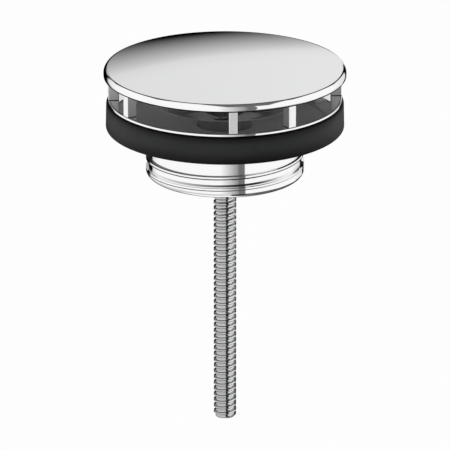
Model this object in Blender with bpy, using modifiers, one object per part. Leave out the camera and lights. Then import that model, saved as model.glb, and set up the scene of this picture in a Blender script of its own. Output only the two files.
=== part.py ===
"""Upper part of a free-flow basin waste.

A round cover stands on eight posts over a flanged, threaded drain body. A thick rubber gasket
seals the flange to the basin. The cover and the long draw rod under it turn as one in the hub
of a bridge in the bore, and so screw the rod into the fitting below the basin.

Metres, +Z up. The origin is the middle of the gasket's underside, which lies on the basin.
The front is -Y. The cover turns about Z.
"""

import math

import bmesh
import bpy


# Fits
SEAT_GAP = 0.0003
RUNNING_CLEARANCE = 0.0003

# Gasket
GASKET_THICKNESS = 0.0071
GASKET_OVERHANG = 0.00045
GASKET_FLARE = 0.00015
GASKET_CORNER_ROUND = 0.0005
GASKET_LIP_THICKNESS = 0.0012

# Drain body: flange and hub above the basin, shank below it
FLANGE_RADIUS = 0.03065
FLANGE_THICKNESS = 0.00064
FLANGE_EDGE_ROUND = 0.00012
HUB_RADIUS = 0.0224
SHANK_LENGTH = 0.01305
THREAD_RADIUS = 0.020955
THREAD_DEPTH = 0.001355
THREAD_LEAD_IN = 0.0007
NECK_LENGTH = 0.0056
SHANK_END_DRAW = 0.002155
SHANK_END_CHAMFER = 0.0014
BORE_RADIUS = 0.0160
BORE_MOUTH_ROUND = 0.0030
BORE_END_CHAMFER = 0.0005

# Bridge across the bore
BRIDGE_LEDGE_WIDTH = 0.0009
BRIDGE_RING_WALL = 0.0018
BRIDGE_RING_HEIGHT = 0.0030
BRIDGE_LEDGE_DEPTH = 0.0040
BRIDGE_HUB_RADIUS = 0.0055
BRIDGE_HUB_HEIGHT = 0.0046
BRIDGE_HUB_DROP = 0.0012
BRIDGE_ARM_COUNT = 4
BRIDGE_ARM_WIDTH = 0.0024
BRIDGE_ARM_STEP = 0.0003
BRIDGE_EDGE_ROUND = 0.0004

# Posts: their angles run from the front towards +X, and each has a twin half a turn round
POST_HEIGHT = 0.00596
POST_SETBACK = 0.0001
POST_DEPTH = 0.0028
POST_WIDTH = 0.00215
POST_EDGE_ROUND = 0.00035
POST_ANGLES = (4.0, 34.5, 94.0, 123.0)
HALF_TURN = 180.0

# Cover
COVER_OVERHANG = 0.0011
COVER_RIM_WIDTH = 0.00075
COVER_EDGE_HEIGHT = 0.00148
COVER_WIDEST_HEIGHT = 0.0003
COVER_CROWN = 0.0014
COVER_BEARING_MARGIN = 0.0006
COVER_RELIEF_DEPTH = 0.0004
COVER_SOCKET_DEPTH = 0.0009

# Boss under the cover
BOSS_RADIUS = 0.0070
BOSS_TAPER = 0.0006
BOSS_LENGTH = 0.0058
BOSS_END_ROUND = 0.0005
BOSS_HOLE_FLOOR = 0.0008

# Draw rod
ROD_RADIUS = 0.0030
ROD_CHAMFER = 0.0004
ROD_END_DEPTH = 0.0822

# Hexagon nuts and washers on the rod
NUT_ACROSS_FLATS = 0.0100
NUT_FACE_SHARE = 0.95
NUT_CHAMFER_ANGLE = 30.0
NUT_COUNTERSINK = 0.0003
LOCK_NUT_HEIGHT = 0.0032
KEEPER_NUT_HEIGHT = 0.0050
LOCK_WASHER_RADIUS = 0.0055
LOCK_WASHER_THICKNESS = 0.0016
LOCK_WASHER_SPLIT = 0.0010
LOCK_WASHER_SPLIT_ANGLE = 25.0
KEEPER_WASHER_RADIUS = 0.0060
KEEPER_WASHER_THICKNESS = 0.0016
WASHER_EDGE_ROUND = 0.0002

# Fineness of the round shapes
COVER_STEPS = 96
BODY_STEPS = 72
SMALL_STEPS = 32
DOME_POINTS = 5
RIM_POINTS = 4
FILLET_POINTS = 5
ROUND_POINTS = 2
MERGE_DISTANCE = 0.00001
SMOOTH_ANGLE = 35.0

# Heights that follow, upwards from the basin
HUB_BOTTOM_Z = GASKET_LIP_THICKNESS + SEAT_GAP
FLANGE_BOTTOM_Z = GASKET_THICKNESS + SEAT_GAP
FLANGE_TOP_Z = FLANGE_BOTTOM_Z + FLANGE_THICKNESS
POST_BOTTOM_Z = FLANGE_TOP_Z + SEAT_GAP
COVER_BOTTOM_Z = POST_BOTTOM_Z + POST_HEIGHT + SEAT_GAP
COVER_EDGE_Z = COVER_BOTTOM_Z + COVER_EDGE_HEIGHT
COVER_WIDEST_Z = COVER_BOTTOM_Z + COVER_WIDEST_HEIGHT
COVER_RELIEF_Z = COVER_BOTTOM_Z + COVER_RELIEF_DEPTH
COVER_SOCKET_Z = COVER_BOTTOM_Z + COVER_SOCKET_DEPTH
BOSS_TOP_Z = COVER_SOCKET_Z - SEAT_GAP
BOSS_BOTTOM_Z = BOSS_TOP_Z - BOSS_LENGTH
BOSS_HOLE_Z = BOSS_TOP_Z - BOSS_HOLE_FLOOR

# Heights that follow, downwards into the bore and along the rod
BRIDGE_BOTTOM_Z = SEAT_GAP - BRIDGE_LEDGE_DEPTH
BRIDGE_TOP_Z = BRIDGE_BOTTOM_Z + BRIDGE_RING_HEIGHT
BRIDGE_HUB_BOTTOM_Z = BRIDGE_BOTTOM_Z - BRIDGE_HUB_DROP
BRIDGE_HUB_TOP_Z = BRIDGE_HUB_BOTTOM_Z + BRIDGE_HUB_HEIGHT
LOCK_WASHER_TOP_Z = BOSS_BOTTOM_Z - SEAT_GAP
LOCK_NUT_TOP_Z = LOCK_WASHER_TOP_Z - LOCK_WASHER_THICKNESS - SEAT_GAP
KEEPER_WASHER_TOP_Z = BRIDGE_HUB_BOTTOM_Z - SEAT_GAP
KEEPER_NUT_TOP_Z = KEEPER_WASHER_TOP_Z - KEEPER_WASHER_THICKNESS - SEAT_GAP
ROD_TOP_Z = BOSS_HOLE_Z - SEAT_GAP

# Radii that follow
GASKET_TOP_RADIUS = FLANGE_RADIUS + GASKET_OVERHANG
GASKET_BOTTOM_RADIUS = GASKET_TOP_RADIUS + GASKET_FLARE
NECK_RADIUS = THREAD_RADIUS - THREAD_DEPTH
SHANK_END_RADIUS = THREAD_RADIUS - SHANK_END_DRAW
BRIDGE_RADIUS = BORE_RADIUS + BRIDGE_LEDGE_WIDTH
BRIDGE_SEAT_RADIUS = BRIDGE_RADIUS + SEAT_GAP
POST_OUTER_RADIUS = FLANGE_RADIUS - POST_SETBACK
POST_INNER_RADIUS = POST_OUTER_RADIUS - POST_DEPTH
COVER_RADIUS = FLANGE_RADIUS + COVER_OVERHANG
COVER_FACE_RADIUS = COVER_RADIUS - COVER_RIM_WIDTH
COVER_RELIEF_RADIUS = POST_INNER_RADIUS - COVER_BEARING_MARGIN
COVER_SOCKET_RADIUS = BOSS_RADIUS + SEAT_GAP
BOSS_END_RADIUS = BOSS_RADIUS - BOSS_TAPER
ROD_HOLE_RADIUS = ROD_RADIUS + RUNNING_CLEARANCE

# Colours, roughness and metallic value of each material
MATERIALS = {
    "polished_chrome": ((0.80, 0.81, 0.82, 1.0), 0.08, 1.0),
    "plated_brass": ((0.72, 0.73, 0.74, 1.0), 0.18, 1.0),
    "bright_steel": ((0.60, 0.61, 0.62, 1.0), 0.30, 1.0),
    "black_rubber": ((0.020, 0.021, 0.021, 1.0), 0.55, 0.0),
}


def clear_scene():
    """Remove every object, so that a second run starts clean."""
    for old in list(bpy.data.objects):
        bpy.data.objects.remove(old, do_unlink=True)


def make_collection(name):
    """A fresh collection under the scene's own."""
    collection = bpy.data.collections.new(name)
    bpy.context.scene.collection.children.link(collection)
    return collection


def make_material(name):
    """A Principled BSDF with the colour, roughness and metallic value listed for that name."""
    colour, roughness, metallic = MATERIALS[name]
    material = bpy.data.materials.new(name)
    material.use_nodes = True
    shader = material.node_tree.nodes["Principled BSDF"]
    shader.inputs["Base Color"].default_value = colour
    shader.inputs["Roughness"].default_value = roughness
    shader.inputs["Metallic"].default_value = metallic
    return material


def arc(centre_r, centre_z, radius, start, end, count):
    """Points on a circular arc in the profile plane, from start to end in degrees."""
    points = []
    for index in range(count + 1):
        angle = math.radians(start + (end - start) * index / count)
        points.append((centre_r + radius * math.cos(angle), centre_z + radius * math.sin(angle)))
    return points


def add_object(name, mesh, collection):
    """An object around a mesh, in the given collection."""
    obj = bpy.data.objects.new(name, mesh)
    collection.objects.link(obj)
    return obj


def turned(name, profile, steps, collection):
    """Turn a profile of (radius, height) points about Z.

    The profile runs outwards along the top, down the outer side and inwards along the bottom.
    One that starts and ends on the axis is solid; any other closes up its bore.
    """
    count = len(profile)
    edges = [(index, index + 1) for index in range(count - 1)]
    if profile[0][0] > 0.0:
        edges.append((count - 1, 0))
    mesh = bpy.data.meshes.new(name)
    mesh.from_pydata([(radius, 0.0, height) for radius, height in profile], edges, [])
    obj = add_object(name, mesh, collection)
    screw = obj.modifiers.new("Turn", "SCREW")
    screw.axis = "Z"
    screw.angle = math.tau
    screw.steps = steps
    screw.render_steps = steps
    screw.use_merge_vertices = True
    screw.merge_threshold = MERGE_DISTANCE
    return obj


def smooth(obj, material):
    """Give the piece its material and smooth shading with crisp edges."""
    depsgraph = bpy.context.evaluated_depsgraph_get()
    mesh = bpy.data.meshes.new_from_object(obj.evaluated_get(depsgraph))
    mesh.name = obj.name
    obj.modifiers.clear()
    obj.data = mesh
    mesh.materials.clear()
    mesh.materials.append(material)
    mesh.shade_smooth()
    mesh.set_sharp_from_angle(angle=math.radians(SMOOTH_ANGLE))
    return obj


def boolean(obj, tool, operation):
    """Cut or join a tool object into obj with the exact solver."""
    modifier = obj.modifiers.new(operation.title(), "BOOLEAN")
    modifier.operation = operation
    modifier.solver = "EXACT"
    modifier.object = tool
    tool.hide_render = True
    tool.display_type = "WIRE"


def rod_cutter(name, top, bottom, radius, countersink, collection):
    """A cutter for a hole on the axis, with a countersink of its own depth at both mouths."""
    over = SEAT_GAP
    profile = [
        (0.0, top + over),
        (radius + countersink + over, top + over),
        (radius, top - countersink),
        (radius, bottom + countersink),
        (radius + countersink + over, bottom - over),
        (0.0, bottom - over),
    ]
    return turned(name, profile, SMALL_STEPS, collection)


def make_gasket(parts, materials):
    """Thick rubber ring round the hub, with a lip that reaches in under it to the neck."""
    edge = GASKET_CORNER_ROUND
    profile = [(HUB_RADIUS + SEAT_GAP, GASKET_THICKNESS)]
    profile += arc(GASKET_TOP_RADIUS - edge, GASKET_THICKNESS - edge, edge, 90, 0, ROUND_POINTS)
    profile += arc(GASKET_BOTTOM_RADIUS - edge, edge, edge, 0, -90, ROUND_POINTS)
    profile += [
        (NECK_RADIUS + SEAT_GAP, 0.0),
        (NECK_RADIUS + SEAT_GAP, GASKET_LIP_THICKNESS),
        (HUB_RADIUS + SEAT_GAP, GASKET_LIP_THICKNESS),
    ]
    return smooth(turned("gasket", profile, BODY_STEPS, parts), materials["black_rubber"])


def make_drain_body(parts, materials):
    """Flange, hub and shank turned in one, with a rounded bore mouth and the bridge's ledge."""
    mouth = BORE_MOUTH_ROUND
    rim = FLANGE_EDGE_ROUND
    thread_end_z = SHANK_END_CHAMFER - SHANK_LENGTH
    profile = arc(BRIDGE_SEAT_RADIUS + mouth, FLANGE_TOP_Z - mouth, mouth, 180, 90, FILLET_POINTS)
    profile += arc(FLANGE_RADIUS - rim, FLANGE_TOP_Z - rim, rim, 90, 0, ROUND_POINTS)
    profile += arc(FLANGE_RADIUS - rim, FLANGE_BOTTOM_Z + rim, rim, 0, -90, ROUND_POINTS)
    profile += [
        (HUB_RADIUS, FLANGE_BOTTOM_Z),
        (HUB_RADIUS, HUB_BOTTOM_Z),
        (NECK_RADIUS, HUB_BOTTOM_Z),
        (NECK_RADIUS, -NECK_LENGTH),
        (THREAD_RADIUS, -NECK_LENGTH - THREAD_LEAD_IN),
        (THREAD_RADIUS, thread_end_z),
        (SHANK_END_RADIUS, -SHANK_LENGTH),
        (BORE_RADIUS + BORE_END_CHAMFER, -SHANK_LENGTH),
        (BORE_RADIUS, BORE_END_CHAMFER - SHANK_LENGTH),
        (BORE_RADIUS, -BRIDGE_LEDGE_DEPTH),
        (BRIDGE_SEAT_RADIUS, -BRIDGE_LEDGE_DEPTH),
    ]
    return smooth(turned("drain_body", profile, BODY_STEPS, parts), materials["polished_chrome"])


def make_bridge_arms(cutters):
    """Straight arms from the hub to the ring, each as deep at the hub as the hub allows."""
    inner = (ROD_HOLE_RADIUS + BRIDGE_HUB_RADIUS) / 2
    outer = BRIDGE_RADIUS - BRIDGE_RING_WALL / 2
    top = BRIDGE_TOP_Z - BRIDGE_ARM_STEP
    hub_bottom = BRIDGE_HUB_BOTTOM_Z + BRIDGE_ARM_STEP
    ring_bottom = BRIDGE_BOTTOM_Z + BRIDGE_ARM_STEP
    work = bmesh.new()
    for index in range(BRIDGE_ARM_COUNT):
        turn = math.tau * (index + 0.5) / BRIDGE_ARM_COUNT
        arm = bmesh.ops.create_cube(work, size=1.0)["verts"]
        for vertex in arm:
            at_ring = vertex.co.x > 0.0
            along = outer if at_ring else inner
            bottom = ring_bottom if at_ring else hub_bottom
            across = math.copysign(BRIDGE_ARM_WIDTH / 2, vertex.co.y)
            height = top if vertex.co.z > 0.0 else bottom
            vertex.co.x = along * math.cos(turn) - across * math.sin(turn)
            vertex.co.y = along * math.sin(turn) + across * math.cos(turn)
            vertex.co.z = height
    mesh = bpy.data.meshes.new("bridge_arms")
    work.to_mesh(mesh)
    work.free()
    return add_object("bridge_arms", mesh, cutters)


def make_bridge(parts, cutters, materials):
    """Ring, arms and hub in one casting, with the rod's running hole through the hub."""
    edge = BRIDGE_EDGE_ROUND
    inner = BRIDGE_RADIUS - BRIDGE_RING_WALL
    ring = [(inner, BRIDGE_TOP_Z)]
    ring += arc(BRIDGE_RADIUS - edge, BRIDGE_TOP_Z - edge, edge, 90, 0, ROUND_POINTS)
    ring += [(BRIDGE_RADIUS, BRIDGE_BOTTOM_Z), (inner, BRIDGE_BOTTOM_Z)]
    bridge = turned("bridge", ring, BODY_STEPS, parts)

    hub = [(0.0, BRIDGE_HUB_TOP_Z)]
    hub += arc(BRIDGE_HUB_RADIUS - edge, BRIDGE_HUB_TOP_Z - edge, edge, 90, 0, ROUND_POINTS)
    hub += arc(BRIDGE_HUB_RADIUS - edge, BRIDGE_HUB_BOTTOM_Z + edge, edge, 0, -90, ROUND_POINTS)
    hub += [(0.0, BRIDGE_HUB_BOTTOM_Z)]
    hub_tool = turned("bridge_hub", hub, SMALL_STEPS, cutters)
    hole = rod_cutter(
        "bridge_hole", BRIDGE_HUB_TOP_Z, BRIDGE_HUB_BOTTOM_Z, ROD_HOLE_RADIUS, NUT_COUNTERSINK, cutters
    )
    boolean(bridge, make_bridge_arms(cutters), "UNION")
    boolean(bridge, hub_tool, "UNION")
    boolean(bridge, hole, "DIFFERENCE")
    return smooth(bridge, materials["plated_brass"])


def make_post(index, angle, parts, materials):
    """An upright bar on the flange, its outer face just inside the flange's edge."""
    work = bmesh.new()
    bmesh.ops.create_cube(work, size=1.0)
    bmesh.ops.scale(work, vec=(POST_DEPTH, POST_WIDTH, POST_HEIGHT), verts=work.verts)
    upright = []
    for edge in work.edges:
        low, high = sorted(vertex.co.z for vertex in edge.verts)
        if high - low > POST_HEIGHT / 2:
            upright.append(edge)
    bmesh.ops.bevel(
        work, geom=upright, offset=POST_EDGE_ROUND, segments=ROUND_POINTS, profile=0.5, affect="EDGES"
    )
    mesh = bpy.data.meshes.new(f"post_{index}")
    work.to_mesh(mesh)
    work.free()
    post = add_object(f"post_{index}", mesh, parts)
    turn = math.radians(angle)
    radius = (POST_INNER_RADIUS + POST_OUTER_RADIUS) / 2
    post.location = (
        radius * math.sin(turn),
        -radius * math.cos(turn),
        POST_BOTTOM_Z + POST_HEIGHT / 2,
    )
    post.rotation_euler.z = turn - math.pi / 2
    return smooth(post, materials["polished_chrome"])


def make_posts(parts, materials):
    """Pairs of posts round the flange, with a wide window after each pair."""
    angles = [angle + turn for turn in (0.0, HALF_TURN) for angle in POST_ANGLES]
    return [make_post(index, angle, parts, materials) for index, angle in enumerate(angles, 1)]


def cover_face():
    """Points of the cover's shallow dome, from the axis to the crisp edge of its face."""
    sphere = (COVER_FACE_RADIUS ** 2 + COVER_CROWN ** 2) / (2 * COVER_CROWN)
    centre_z = COVER_EDGE_Z + COVER_CROWN - sphere
    points = []
    for index in range(DOME_POINTS):
        radius = COVER_FACE_RADIUS * index / DOME_POINTS
        points.append((radius, centre_z + math.sqrt(sphere ** 2 - radius ** 2)))
    return points


def make_cover(parts, materials):
    """Domed disc with a convex rim, relieved underneath inside the ring that bears on the posts."""
    out = COVER_RADIUS - COVER_FACE_RADIUS
    down = COVER_EDGE_HEIGHT - COVER_WIDEST_HEIGHT
    rim_radius = (out ** 2 + down ** 2) / (2 * out)
    rim_start = math.degrees(math.asin(down / rim_radius))
    rim_end = -math.degrees(math.asin(COVER_WIDEST_HEIGHT / rim_radius))
    profile = cover_face()
    profile += arc(COVER_RADIUS - rim_radius, COVER_WIDEST_Z, rim_radius, rim_start, rim_end, RIM_POINTS)
    profile += [
        (COVER_RELIEF_RADIUS, COVER_BOTTOM_Z),
        (COVER_RELIEF_RADIUS - COVER_RELIEF_DEPTH, COVER_RELIEF_Z),
        (COVER_SOCKET_RADIUS, COVER_RELIEF_Z),
        (COVER_SOCKET_RADIUS, COVER_SOCKET_Z),
        (0.0, COVER_SOCKET_Z),
    ]
    return smooth(turned("cover", profile, COVER_STEPS, parts), materials["polished_chrome"])


def make_cover_boss(parts, materials):
    """Tapered boss set into the cover's socket, with a blind hole for the rod."""
    edge = BOSS_END_ROUND
    profile = [
        (0.0, BOSS_TOP_Z),
        (BOSS_RADIUS, BOSS_TOP_Z),
        (BOSS_RADIUS, COVER_BOTTOM_Z),
    ]
    profile += arc(BOSS_END_RADIUS - edge, BOSS_BOTTOM_Z + edge, edge, 0, -90, ROUND_POINTS)
    profile += [
        (ROD_HOLE_RADIUS, BOSS_BOTTOM_Z),
        (ROD_HOLE_RADIUS, BOSS_HOLE_Z),
        (0.0, BOSS_HOLE_Z),
    ]
    return smooth(turned("cover_boss", profile, SMALL_STEPS, parts), materials["plated_brass"])


def make_draw_rod(parts, materials):
    """The long rod, chamfered at both ends."""
    profile = [
        (0.0, ROD_TOP_Z),
        (ROD_RADIUS - ROD_CHAMFER, ROD_TOP_Z),
        (ROD_RADIUS, ROD_TOP_Z - ROD_CHAMFER),
        (ROD_RADIUS, ROD_CHAMFER - ROD_END_DEPTH),
        (ROD_RADIUS - ROD_CHAMFER, -ROD_END_DEPTH),
        (0.0, -ROD_END_DEPTH),
    ]
    return smooth(turned("draw_rod", profile, SMALL_STEPS, parts), materials["bright_steel"])


def make_nut(name, top, height, parts, cutters, materials):
    """A hexagon nut: the six flats of a prism inside the cone of its chamfers, with its hole."""
    corner = NUT_ACROSS_FLATS / math.sqrt(3)
    face = NUT_FACE_SHARE * NUT_ACROSS_FLATS / 2
    outside = corner + SEAT_GAP
    fall = (outside - face) * math.tan(math.radians(NUT_CHAMFER_ANGLE))
    bottom = top - height
    nut = turned(
        name,
        [
            (0.0, top),
            (face, top),
            (outside, top - fall),
            (outside, bottom + fall),
            (face, bottom),
            (0.0, bottom),
        ],
        SMALL_STEPS,
        parts,
    )
    work = bmesh.new()
    bmesh.ops.create_cone(
        work, cap_ends=True, segments=6, radius1=corner, radius2=corner, depth=height + 2 * SEAT_GAP
    )
    bmesh.ops.translate(work, vec=(0.0, 0.0, top - height / 2), verts=work.verts)
    mesh = bpy.data.meshes.new(f"{name}_flats")
    work.to_mesh(mesh)
    work.free()
    boolean(nut, add_object(f"{name}_flats", mesh, cutters), "INTERSECT")
    hole = rod_cutter(f"{name}_hole", top, bottom, ROD_HOLE_RADIUS, NUT_COUNTERSINK, cutters)
    boolean(nut, hole, "DIFFERENCE")
    return smooth(nut, materials["bright_steel"])


def washer_profile(radius, top, thickness):
    """Section of a flat washer on the rod, with its outer edges eased."""
    edge = WASHER_EDGE_ROUND
    bottom = top - thickness
    profile = [(ROD_HOLE_RADIUS, top)]
    profile += arc(radius - edge, top - edge, edge, 90, 0, ROUND_POINTS)
    profile += arc(radius - edge, bottom + edge, edge, 0, -90, ROUND_POINTS)
    profile += [(ROD_HOLE_RADIUS, bottom)]
    return profile


def make_lock_washer(parts, cutters, materials):
    """Spring washer, split by a slanted slot."""
    profile = washer_profile(LOCK_WASHER_RADIUS, LOCK_WASHER_TOP_Z, LOCK_WASHER_THICKNESS)
    washer = turned("lock_washer", profile, SMALL_STEPS, parts)
    work = bmesh.new()
    bmesh.ops.create_cube(work, size=1.0)
    size = (LOCK_WASHER_RADIUS, LOCK_WASHER_SPLIT, 3 * LOCK_WASHER_THICKNESS)
    bmesh.ops.scale(work, vec=size, verts=work.verts)
    mesh = bpy.data.meshes.new("washer_split")
    work.to_mesh(mesh)
    work.free()
    split = add_object("washer_split", mesh, cutters)
    middle = (ROD_HOLE_RADIUS + LOCK_WASHER_RADIUS) / 2
    split.location = (middle, 0.0, LOCK_WASHER_TOP_Z - LOCK_WASHER_THICKNESS / 2)
    split.rotation_euler.x = math.radians(LOCK_WASHER_SPLIT_ANGLE)
    boolean(washer, split, "DIFFERENCE")
    return smooth(washer, materials["bright_steel"])


def make_keeper_washer(parts, materials):
    """Plain washer between the bridge's hub and the keeper nut."""
    profile = washer_profile(KEEPER_WASHER_RADIUS, KEEPER_WASHER_TOP_Z, KEEPER_WASHER_THICKNESS)
    return smooth(turned("keeper_washer", profile, SMALL_STEPS, parts), materials["bright_steel"])


def add_group(name, pieces, collection):
    """An empty on the waste's axis that carries the pieces which move together."""
    empty = bpy.data.objects.new(name, None)
    empty.empty_display_size = BORE_RADIUS
    collection.objects.link(empty)
    for piece in pieces:
        piece.parent = empty
    return empty


def build():
    """Model every piece of the waste."""
    clear_scene()
    parts = make_collection("basin_waste")
    cutters = make_collection("cutters")
    materials = {name: make_material(name) for name in MATERIALS}
    fixed = [
        make_drain_body(parts, materials),
        make_gasket(parts, materials),
        make_bridge(parts, cutters, materials),
    ]
    fixed += make_posts(parts, materials)
    turning = [
        make_cover(parts, materials),
        make_cover_boss(parts, materials),
        make_draw_rod(parts, materials),
        make_lock_washer(parts, cutters, materials),
        make_nut("lock_nut", LOCK_NUT_TOP_Z, LOCK_NUT_HEIGHT, parts, cutters, materials),
        make_keeper_washer(parts, materials),
        make_nut("keeper_nut", KEEPER_NUT_TOP_Z, KEEPER_NUT_HEIGHT, parts, cutters, materials),
    ]
    add_group("drain_axis", fixed, parts)
    add_group("cover_axis", turning, parts)


build()
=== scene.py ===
"""Looks of the free-flow basin waste: fine meshes, threads, finishes, studio and camera.

Metres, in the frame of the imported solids: +Z up, the front is -Y, the origin is the middle of the
gasket's underside. Angles round the axis run from the front towards +X.
"""

import math

import bmesh
import bpy
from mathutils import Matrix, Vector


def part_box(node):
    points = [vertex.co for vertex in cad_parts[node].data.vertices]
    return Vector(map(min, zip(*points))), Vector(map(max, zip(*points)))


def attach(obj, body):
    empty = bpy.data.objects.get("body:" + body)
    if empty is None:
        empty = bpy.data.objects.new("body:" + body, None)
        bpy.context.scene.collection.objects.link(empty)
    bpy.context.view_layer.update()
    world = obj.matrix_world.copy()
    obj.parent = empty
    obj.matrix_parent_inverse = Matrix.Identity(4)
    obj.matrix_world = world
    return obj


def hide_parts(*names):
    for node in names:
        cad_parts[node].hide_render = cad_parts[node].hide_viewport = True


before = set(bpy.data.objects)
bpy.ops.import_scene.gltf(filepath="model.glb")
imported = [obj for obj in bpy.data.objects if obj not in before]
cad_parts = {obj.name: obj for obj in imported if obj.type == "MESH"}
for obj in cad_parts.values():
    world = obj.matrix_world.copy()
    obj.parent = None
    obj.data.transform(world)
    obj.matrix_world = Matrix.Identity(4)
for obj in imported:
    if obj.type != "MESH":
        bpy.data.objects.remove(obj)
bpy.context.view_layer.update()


# Camera, at the photograph's angle
CAMERA_ELEVATION = math.radians(20.26)
CAMERA_DISTANCE = 1.0395
CAMERA_TARGET_Z = -0.0277
CAMERA_LENS = 314.2
SENSOR_WIDTH = 36.0

# Floor
FLOOR_Z = -0.30
FLOOR_SIZE = 6.0
FLOOR_GREY = 0.92
FLOOR_GLOW_SHARE = 0.975

# Studio, as seen from the object
# All angles are in degrees. A span is where an edge fades in or out, and a band is a span that fades
# in and one that fades out. Elevation is above the horizon, azimuth runs from the front to the right,
# "behind" from the back to the left, "side" from the middle to the right and "pitch" from the front
# up over the object.
PANEL_SHADES = (0.825, 0.765)
PANEL_SHADE_SPAN = (-5.5, 5.5)
PANEL_END_SPAN = (35.0, 65.0)
PANEL_HEIGHT_BAND = (-70.0, -60.0, 30.0, 34.0)

LOW_CARD_CORNER = 7.3
LOW_CARD_SLOPE = 0.85
LOW_CARD_EDGE_SPAN = (8.4, 15.95)
LOW_CARD_EDGE_SHARE = 0.90
LOW_CARD_SOFT_SPAN = (14.3, 18.9)
LOW_CARD_BEHIND_BAND = (-10.0, -4.0, 35.0, 43.0)
LOW_CARD_FOOT_SPAN = (-46.0, -42.0)

END_CARD_START_SPAN = (-30.0, -25.0)
END_CARD_HEIGHT_BAND = (-46.0, -42.0, 21.0, 26.0)
END_CARD_STEP_SPAN = (8.0, 14.0)
END_CARD_LIMITS = (-16.0, -10.0)
END_CARD_SOFTNESS = 4.0

FRONT_CARD_FADE_SPAN = (-7.0, 19.5)
FRONT_CARD_FADE_SHARE = 0.86
FRONT_CARD_DARK_SPAN = (19.0, 21.5)
FRONT_CARD_EDGE_SPAN = (29.2, 30.4)
FRONT_CARD_HEIGHT_BAND = (-60.0, -50.0, 40.0, 50.0)
FRONT_CARD_GREY = 0.17

LID_FRONT_EDGE = 40.0
LID_SLOPE = 2.2
LID_LOWEST_EDGE = 36.0
LID_EDGE_SPAN = (-4.0, 4.0)
LID_SIDE_BAND = (-20.0, -12.0, 36.0, 41.0)
LID_BACK_SPAN = (120.0, 130.0)
LID_GREY = 0.15

STRIP_STEP_SPAN = (7.0, 13.0)
STRIP_LOWEST = (33.0, 18.0)
STRIP_SOFTNESS = 4.0
STRIP_PITCH_SPAN = (78.0, 84.0)
STRIP_END_SPAN = (42.0, 48.0)
STRIP_GREY = 0.05

PATCH_TOP_SPAN = (-30.0, -23.0)
PATCH_SIDE_BAND = (4.0, 14.0, 58.0, 64.0)
PATCH_GREY = 0.12

# Cards near the rod, seen only in its reflections, with angles round the axis in degrees
FAR_CARD_RADIUS = 0.12
FAR_CARD_TOP = -0.054
FAR_CARD_BOTTOM = -0.20
NEAR_CARD_RADIUS = 0.06
NEAR_CARD_TOP = -0.034
NEAR_CARD_BOTTOM = -0.13
LEFT_CARD_START = -136.0
LEFT_CARD_END = 6.0
LEFT_CARD_GREY = 0.62
LEFT_EDGE_START = -178.0
LEFT_EDGE_GREY = 0.02
MIDDLE_CARD_START = 9.0
MIDDLE_CARD_END = 31.0
MIDDLE_CARD_GREY = 0.012
MIDDLE_SIDE_END = 39.0
MIDDLE_SIDE_GREY = 0.20
RIGHT_EDGE_START = 122.0
RIGHT_EDGE_END = 178.0
RIGHT_EDGE_GREY = 0.03
CARD_STEPS = 24

# Cover
COVER_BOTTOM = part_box("cover")[0].z
COVER_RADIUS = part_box("cover")[1].x
COVER_CROWN = 0.00126
COVER_EDGE_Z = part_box("cover")[1].z - COVER_CROWN
COVER_RIM_WIDTH = 0.00058
COVER_WIDEST_HEIGHT = 0.0003
COVER_EDGE_ROUND = 0.00046
COVER_SMOOTH_ANGLE = 40.0
COVER_SKIRT_DROP = 0.00030
COVER_SKIRT_WIDTH = 0.00030
COVER_RELIEF_RADIUS = 0.02715
COVER_RELIEF_DEPTH = 0.0004
COVER_SOCKET_RADIUS = 0.0073
COVER_SOCKET_DEPTH = 0.0009

# Flange, bore and shank
FLANGE_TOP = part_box("drain_body")[1].z
FLANGE_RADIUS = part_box("drain_body")[1].x
FLANGE_THICKNESS = 0.00064
FLANGE_EDGE_ROUND = 0.00014
# A thin ring near the flange's edge is painted dark on its flat top: a painted shade line, with no groove
# there
FLANGE_SHADE_LINE_INSET = 0.00034
FLANGE_SHADE_LINE_WIDTH = 0.00022
HUB_RADIUS = 0.0224
HUB_BOTTOM = 0.0015
NECK_RADIUS = 0.0201
SHANK_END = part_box("drain_body")[0].z
SHANK_END_RADIUS = 0.0188
SHANK_END_ROUND = 0.0014
BORE_RADIUS = 0.0160
BORE_SEAT_RADIUS = 0.0172
BORE_LEDGE_Z = -0.0040
BORE_MOUTH_ROUND = 0.0030
BORE_END_CHAMFER = 0.0005

# Shank thread
# ANGLES say where on the helix a painted shade band is kept, counted from the crest that passes the front
# at
# FRONT_CREST. SPREAD says where round the axis it fades in and out, in degrees. The groove fills up
# below GROOVE_END and the crest fades out towards LAST_ANGLE, each within RUNOUT.
SHANK_CREST_RADIUS = 0.0208
SHANK_PITCH = 0.00312
SHANK_CREST_WIDTH = 0.00072
SHANK_UPPER_FLANK = 0.00005
SHANK_LOWER_FLANK = 0.00035
SHANK_FLOOR_BANDS = 24
SHANK_EDGE_LINE = 0.00026
SHANK_SHADE_START = 0.00014
SHANK_SHADE_WIDTH = 0.00060
SHANK_SHADE_ANGLES = (math.radians(-432.0), math.radians(-284.0))
SHANK_SHADE_SPREAD = (-80.0, 18.0, 22.0, 54.0)
SHANK_LEDGE_ANGLES = (math.radians(-100.0), math.radians(40.0))
SHANK_LEDGE_SPREAD = (-175.0, -150.0, -5.0, 38.0)
SHANK_FAINT_ANGLES = (math.radians(-470.0), math.radians(-250.0))
SHANK_FAINT_SPREAD = (-110.0, -70.0, 0.0, 110.0)
SHANK_GROOVE_END = math.radians(-175.0)
SHANK_FRONT_CREST = -0.00737
SHANK_THREAD_TOP = -0.0046
SHANK_LAST_ANGLE = math.radians(140.0)
SHANK_RUNOUT = math.radians(35.0)
SHANK_LAND_Z = -0.0116

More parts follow.
